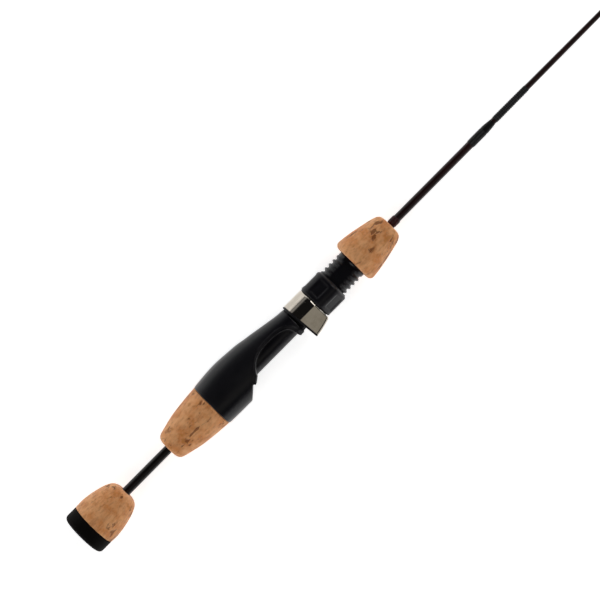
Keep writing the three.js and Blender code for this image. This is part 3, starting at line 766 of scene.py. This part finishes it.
def seat_side(x, y, stations):
    """Half the seat's width at a place on its side."""
    for one, two in zip(stations, stations[1:]):
        if one[0] <= x <= two[0]:
            t = (x - one[0]) / (two[0] - one[0])
            _, top, bottom, side = [a + (b - a) * t for a, b in zip(one, two)]
            reach = min(1, abs(y) / (top if y > 0 else bottom))
            return side * (1 - reach ** (2 / SIDE_FLATNESS)) ** (SIDE_FLATNESS / 2)
    return stations[-1][3]


# The side arch and the raised rim round it, from the fixed hood forward: place and height.
ARCH = [
    (131.4, -6.6), (133.6, -3.2), (137, -0.2), (142, 1.8), (149, 2.5),
    (155.5, 2.1), (160.5, 0.5), (162.6, -1.6), (163.4, -3.6), (163.6, -6),
]
ARCH_RIM = [
    (127.6, -9.3), (128.8, -7.6), (130.6, -4.9), (133, -2.0), (137, 1.2), (141.4, 3.1),
    (147.7, 3.9), (154.2, 3.8), (160.0, 2.7), (163.2, 0.6), (164.9, -2.2), (165.4, -5.2),
]
RIM_RADIUS, RIM_SUNK = 0.42, 0.1


def arch_window():
    """What is cut away below the arches and the slanted mouth of the fixed hood."""
    return slab(
        [
            (114.5, -20),
            (119.5, -14.5),
            (126.4, -8.2),
            (127.4, -8.9),
            (128.8, -8.7),
            *spline(ARCH, 5),
            *spline([(164.2, -7.5), (165.2, -8.6), (167.2, -9.1)], 4),
            (168.5, -9.1),
            (168.5, -20),
        ],
        20,
    )


def helix_ridge(start, end, steps=40):
    """The male thread: a trapezoid ridge wound right-handed round the barrel."""
    half = [(1.25, THREAD_SUNK), (1.15, THREAD_ROOT), (0.42, THREAD_CREST)]
    section = [(-u, r) for u, r in half] + half[::-1]
    count = math.ceil((end - start) / THREAD_PITCH * steps)
    rings = []
    for i in range(count + 1):
        x = start + (end - start) * i / count
        t = 2 * math.pi * (x - TOP_CREST) / THREAD_PITCH
        fade = min(1, (x - start) / 0.6, (end - x) / 0.6)
        ridge = [(x + u, THREAD_SUNK + (r - THREAD_SUNK) * fade) for u, r in section]
        rings.append([(along, r * math.cos(t), r * math.sin(t)) for along, r in ridge])
    return loft(rings)


def flattened(shape, half_width=BARREL_FLAT):
    """A shape with its sides pressed flat."""
    verts, faces = shape
    return [(x, y, max(-half_width, min(half_width, z))) for x, y, z in verts], faces


def build_seat():
    stations = spline(SEAT_STATIONS, 3)
    shell_end = stations[-1][0]
    start, tenon_end = node_span("reel_seat_body")
    collar = node_span("fore_grip_cork")[0] - FACE_GAP
    piece = new_object("reel_seat", loft([seat_ring(station) for station in stations]))
    pocket = slab([(112, -4), (112, -10.3), (124, -12.4), (132, -12.4), (132, -4)], 6.2)
    combine("DIFFERENCE", piece, arch_window(), pocket)

    rims = []
    for side in (-1, 1):
        path = [(x, y, side * (seat_side(x, y, stations) - RIM_SUNK)) for x, y in spline(ARCH_RIM, 5)]
        rims.append(tube(path, RIM_RADIUS, 10))
    verts, faces = turned([(start + 2, BED_RADIUS), (shell_end + 2, BED_RADIUS)], 72)
    bed = [(x, max(-BED_DEPTH, y), z) for x, y, z in verts], faces
    barrel = flattened(turned([
        (shell_end - 2, BARREL_RADIUS),
        (184.2, BARREL_RADIUS),
        (184.6, THREAD_ROOT),
        (210.6, THREAD_ROOT),
        (210.9, 8.9),
        (collar, 8.9),
    ]))
    ridge = flattened(helix_ridge(187, 210.8))
    tenon = turned([(collar - 1, 7.6), (tenon_end, 7.6)], 72)
    extra = new_object("seat_inner", *rims, bed, barrel, ridge, tenon)

    whole = bmesh.new()
    whole.from_mesh(piece.data)
    whole.from_mesh(extra.data)
    whole.to_mesh(piece.data)
    whole.free()
    mesh = extra.data
    bpy.data.objects.remove(extra)
    bpy.data.meshes.remove(mesh)

    remesh = piece.modifiers.new("skin", "REMESH")
    remesh.mode = "VOXEL"
    remesh.voxel_size = VOXEL * MM
    relax = piece.modifiers.new("relax", "SMOOTH")
    relax.factor = 0.5
    relax.iterations = 3
    thin = piece.modifiers.new("thin", "DECIMATE")
    thin.ratio = 0.3
    apply_modifiers(piece)

    channel = slab([(160, -12), (178, -12), (178, -BED_DEPTH), (160, -BED_DEPTH)], 5.6)
    bore = turned([(start - 1, 4.8), (tenon_end + 1, 4.8)], 48)
    socket = turned([(start - 1, 9.5), (start + 7.7, 9.5)], 72)
    combine("DIFFERENCE", piece, channel, bore, socket)
    place(piece, SEAT_PLASTIC, "rod", "reel_seat_body", "seat_plastic")


# ---------------------------------------------------------------- sliding hood

HOOD_START, HOOD_END = 167.9, 182.2
HOOD_RADIUS, HOOD_CORNER, HOOD_SLANT = 10.2, 1.6, 2.3
HOOD_DEPTH, HOOD_FRONT_DEPTH = 14.6, 12.0
FLANGE, SHELL_WALL = 1.2, 0.55
CHEEK_TOP, CHEEK_DRAFT = 1.5, 0.19
HOOD_BORE, LINER_FLAT = 9.5, 7.5


def hood_ring(x, inset, steps=14):
    """The hood's section, round above and a flat-sided pocket below, at a place along it."""
    t = max(0, min(1, (x - HOOD_START) / (HOOD_END - HOOD_START)))
    depth = HOOD_DEPTH - (HOOD_DEPTH - HOOD_FRONT_DEPTH) * t ** 1.5 - inset
    radius = HOOD_RADIUS - inset
    corner = HOOD_CORNER - inset
    levels = [CHEEK_TOP * 0.8, CHEEK_TOP, CHEEK_TOP * 1.2, depth * 0.35, depth * 0.6]
    outline = arc(0, 0, radius, 0, 180, steps * 3)
    outline += [(-radius, -level) for level in levels]
    outline += arc(-(radius - corner), -(depth - corner), corner, 180, 270, steps)
    outline += arc(radius - corner, -(depth - corner), corner, 270, 360, steps)
    outline += [(radius, -level) for level in reversed(levels)]
    points = []
    for z, y in outline:
        down = (HOOD_RADIUS - y) / (HOOD_RADIUS + HOOD_DEPTH)
        forward = HOOD_SLANT * down * max(0, (HOOD_END - x) / (HOOD_END - HOOD_START))
        narrow = 1 - CHEEK_DRAFT * max(0, -y - CHEEK_TOP) / HOOD_RADIUS
        points.append((x + forward, y, z * narrow))
    return points


def build_hood():
    rear, end = HOOD_START + FLANGE, HOOD_END
    outside = [(rear + 0.02, 0.14), (rear + 0.12, 0.03)]
    outside += [(rear + (end - rear) * i / 12, 0) for i in range(1, 12)]
    outside += [(end - 1.0, 0.0), (end - 0.8, 0.04), (end - 0.5, 0.15), (end - 0.2, 0.31), (end, 0.46)]
    inside = [(end - 0.05, SHELL_WALL)]
    inside += [(end - (end - rear) * i / 4, SHELL_WALL) for i in range(1, 4)]
    inside += [(rear + 0.02, SHELL_WALL)]
    rings = [hood_ring(x, inset) for x, inset in outside + inside]
    piece = new_object("hood_shell", loft(rings, closed=True))
    place(piece, METAL, "sliding_hood", "sliding_hood_shell", "hood_metal")


def build_liner():
    start, front = node_span("sliding_hood_liner")
    rear, end = HOOD_START + FLANGE - 0.08, HOOD_END
    lining = SHELL_WALL + 0.12
    outside = [(start + 0.02, 0.3), (start + 0.3, 0.02), (rear - 0.25, 0.02), (rear, 0.2), (rear + 0.02, 0.7)]
    outside += [(rear + (end - rear) * i / 6, lining) for i in range(1, 6)]
    outside += [(end - FACE_GAP, lining)]
    piece = new_object("hood_liner", loft([hood_ring(x, inset) for x, inset in outside]))
    snap = turned([
        (end - 0.6, 8.4),
        (end - 0.6, 9.53),
        (end + 0.1, 9.53),
        (end + 0.1, 9.75),
        (end + 1.1, 9.75),
        (end + 1.3, 9.92),
        (end + 1.7, 9.92),
        (front, 9.75),
        (front, 8.4),
    ])
    combine("UNION", piece, snap)
    bore = flattened(turned([(start - 3, HOOD_BORE), (end + 0.5, HOOD_BORE)]), LINER_FLAT)
    round_front = turned([(end + 0.45, HOOD_BORE), (end + 4, HOOD_BORE)])
    pocket = slab([(start - 4, -4), (start - 4, -12.9), (start, -12.9), (end - 3, -10.4), (end - 3, -4)], 5.9)
    combine("DIFFERENCE", piece, bore, round_front, pocket)
    place(piece, LINER_PLASTIC, "sliding_hood", "sliding_hood_liner", "liner_plastic")


# ---------------------------------------------------------------- lock nut

NUT_FLAT, NUT_LOBE, NUT_DISH, NUT_LOBES = 10.3, 11.05, 0.5, 5
NUT_BORE, NUT_CLEAR_BORE, SNAP_GROOVE, NUT_MOUTH = 8.3, 9.5, 10.04, 9.87


def smoothstep(value, low, high):
    t = max(0, min(1, (value - low) / (high - low)))
    return t * t * (3 - 2 * t)


def build_nut():
    start, end = node_span("lock_nut")
    stations = [start, start + 0.12, start + 0.35]
    stations += [start + 0.35 + (end - start - 2.1) * i / 30 for i in range(1, 31)]
    stations += [end - 1.2, end - 0.7, end - 0.3, end]
    rings = []
    sides = NUT_LOBES * 36
    for x in stations:
        edge = 0.3 * (1 - smoothstep(x, start, start + 0.35)) + 1.3 * smoothstep(x, end - 1.75, end) ** 1.5
        along = smoothstep(x, start + 1.9, start + 3.2) - smoothstep(x, end - 3.9, end - 2.7)
        points = []
        for i in range(sides):
            t = 2 * math.pi * i / sides
            wave = math.cos(NUT_LOBES * t)
            dish = NUT_DISH * smoothstep(wave, -0.35, 0.35) * along
            radius = NUT_FLAT + (NUT_LOBE - NUT_FLAT) * (1 - wave) / 2 - dish - edge
            points.append((x, radius * math.cos(t), radius * math.sin(t)))
        rings.append(points)
    inside = [
        (end, NUT_BORE + 0.1),
        (end - 0.2, NUT_BORE),
        (189, NUT_BORE),
        (189, NUT_CLEAR_BORE),
        (184.4, NUT_CLEAR_BORE),
        (184.2, SNAP_GROOVE),
        (183.4, SNAP_GROOVE),
        (183.2, NUT_MOUTH),
        (start, NUT_MOUTH),
    ]
    rings += [circle(x, radius, sides) for x, radius in inside]
    place(new_object("nut", loft(rings, closed=True)), NUT_PLASTIC, "nut", "lock_nut", "nut_plastic")


# ---------------------------------------------------------------- line guides

GUIDES = [
    {"foot": 424, "ring": 21, "height": 9.1, "radius": 5.2, "wire": 0.5, "double": True},
    {"foot": 482, "ring": 14, "height": 6.7, "radius": 3.7, "wire": 0.45, "double": False},
    {"foot": 527, "ring": 12.5, "height": 5.7, "radius": 3.2, "wire": 0.42, "double": False},
    {"foot": 566, "ring": 11.5, "height": 5.0, "radius": 2.8, "wire": 0.4, "double": False},
]
FOOT_LENGTH, FOOT_THICK, FOOT_HALF, FOOT_GAP = 11, 0.7, 0.7, 0.1
LEAN = math.radians(12)
RING_GAP, RING_SEAT = 0.2, 0.06
TIP_RING = (606.6, 3.7, 2.5, 0.4)  # place along the rod, height, radius, wire's half-thickness


def foot_bar(start, end, blank, point_first=True):
    """A guide's foot: a flat bar on the blank that thins to a point at its outer end."""
    rings = []
    steps = 14
    for i in range(steps + 1):
        t = i / steps
        x = start + (end - start) * t
        grow = min(1, 0.22 + 2.6 * t) if point_first else min(1, 0.22 + 2.6 * (1 - t))
        thick, half = FOOT_THICK * grow, FOOT_HALF * (0.5 + 0.5 * grow)
        middle = -(blank + FOOT_GAP + thick / 2)
        rings.append([
            (x, middle - thick / 2 * fill(math.cos(a), 0.6), half * fill(math.sin(a), 0.6))
            for a in (2 * math.pi * j / 16 for j in range(16))
        ])
    return loft(rings)


def build_guide(guide, number):
    name = f"guide_{number}"
    foot, height, radius, thick = guide["foot"], guide["height"], guide["radius"], guide["wire"]
    x = foot + guide["ring"]
    blank = taper(TIP_RADIUS, foot)
    base = -(blank + FOOT_GAP + FOOT_THICK / 2)
    shapes = [foot_bar(foot, foot + FOOT_LENGTH, blank), ring((x, -height, 0), radius, thick, LEAN)]
    for side in (-1, 1):
        path = spline([
            (foot + FOOT_LENGTH - 1, base, side * 0.3),
            (foot + FOOT_LENGTH + 1, base - 0.8, side * 0.9),
            (x - radius * 0.35, -height + radius * 0.45, side * radius * 0.82),
            (x, -height, side * (radius + 0.1)),
        ], 8)
        shapes.append(tube(path, thick * 0.9))
    if guide["double"]:
        front = x + radius + 2
        top = (x - radius * math.sin(LEAN), -height + radius * math.cos(LEAN), 0)
        shapes.append(foot_bar(front, front + FOOT_LENGTH, blank, point_first=False))
        brace = spline([(front + 1, base, 0), (x + radius * 0.6, base - 0.6, 0), top], 8)
        shapes.append(tube(brace, thick * 0.9))
    place(new_object(f"{name}_wirework", *shapes), WIRE, "rod", f"{name}_frame", "guide_wire")

    insert = thick + 0.05
    insert_radius = radius - thick - insert - RING_GAP
    bead = ring((x, -height, 0), insert_radius + RING_SEAT, insert, LEAN, 1.05)
    place(new_object(f"{name}_insert", bead), CERAMIC, "rod", f"{name}_ring", "guide_ceramic")
    build_guide_wrap(f"{name}_thread_rear", f"{name}_wrap_rear", blank)
    if guide["double"]:
        build_guide_wrap(f"{name}_thread_front", f"{name}_wrap_front", blank)


def build_guide_wrap(name, node, blank):
    """A winding that holds a foot down: round on the blank, with a low rise where it goes over the foot."""
    start, end = node_span(node)
    inside = blank + WINDING_GAP
    rings = []
    sides = 32
    outline = thread_outline(start, end, lambda x: inside, 0.34, 0.35)
    inner = [(end, inside), (start, inside)]
    for x, radius in outline + inner:
        points = []
        for j in range(sides):
            t = 2 * math.pi * j / sides
            over_foot = smoothstep(-math.cos(t), 0.35, 0.95)
            rise = 0.62 * over_foot * smoothstep(min(x - start, end - x), -0.5, 2.5)
            points.append((x, (radius + rise) * math.cos(t), (radius + rise) * math.sin(t)))
        rings.append(points)
    place(new_object(name, loft(rings, closed=True)), BLACK_THREAD, "rod", node, "black_thread")


def build_tip_top():
    start, end = node_span("tip_top_frame")
    bore = taper(TIP_RADIUS, start) + 0.05
    outer = bore + 0.35
    x, height, radius, thick = TIP_RING
    outline = [
        (start, bore),
        (start, outer - 0.1),
        (start + 0.12, outer),
        (end - 0.9, outer),
        (end - 0.35, outer * 0.8),
        (end, outer * 0.45),
        (end, 0.15),
        (end - 0.9, 0.15),
        (end - 0.95, bore),
    ]
    shapes = [turned(outline, 32, closed=True), ring((x, -height, 0), radius, thick, LEAN, sides=44)]
    for side in (-1, 1):
        path = spline([
            (x - 4, -outer + 0.1, side * 0.3),
            (x - 1.5, -outer - 0.7, side * 1.2),
            (x, -height, side * (radius + 0.1)),
        ], 8)
        shapes.append(tube(path, thick))
    place(new_object("tip_top_wirework", *shapes), WIRE, "rod", "tip_top_frame", "guide_wire")
    insert = thick + 0.02
    insert_radius = radius - thick - insert - RING_GAP
    bead = ring((x, -height, 0), insert_radius + RING_SEAT, insert, LEAN, 1.05, sides=44)
    place(new_object("tip_top_insert", bead), CERAMIC, "rod", "tip_top_ring", "guide_ceramic")


# ---------------------------------------------------------------- scene

add_camera()
add_floor()
add_studio()
build_butt()
build_grips()
build_blank()
build_windings()
build_seat()
build_hood()
build_liner()
build_nut()
for number, guide in enumerate(GUIDES, 1):
    build_guide(guide, number)
build_tip_top()

for node in ("seat_arbor_rear", "seat_arbor_front"):
    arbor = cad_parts[node]
    for material_slot in arbor.material_slots:
        material_slot.material = ARBOR

bpy.context.view_layer.update()
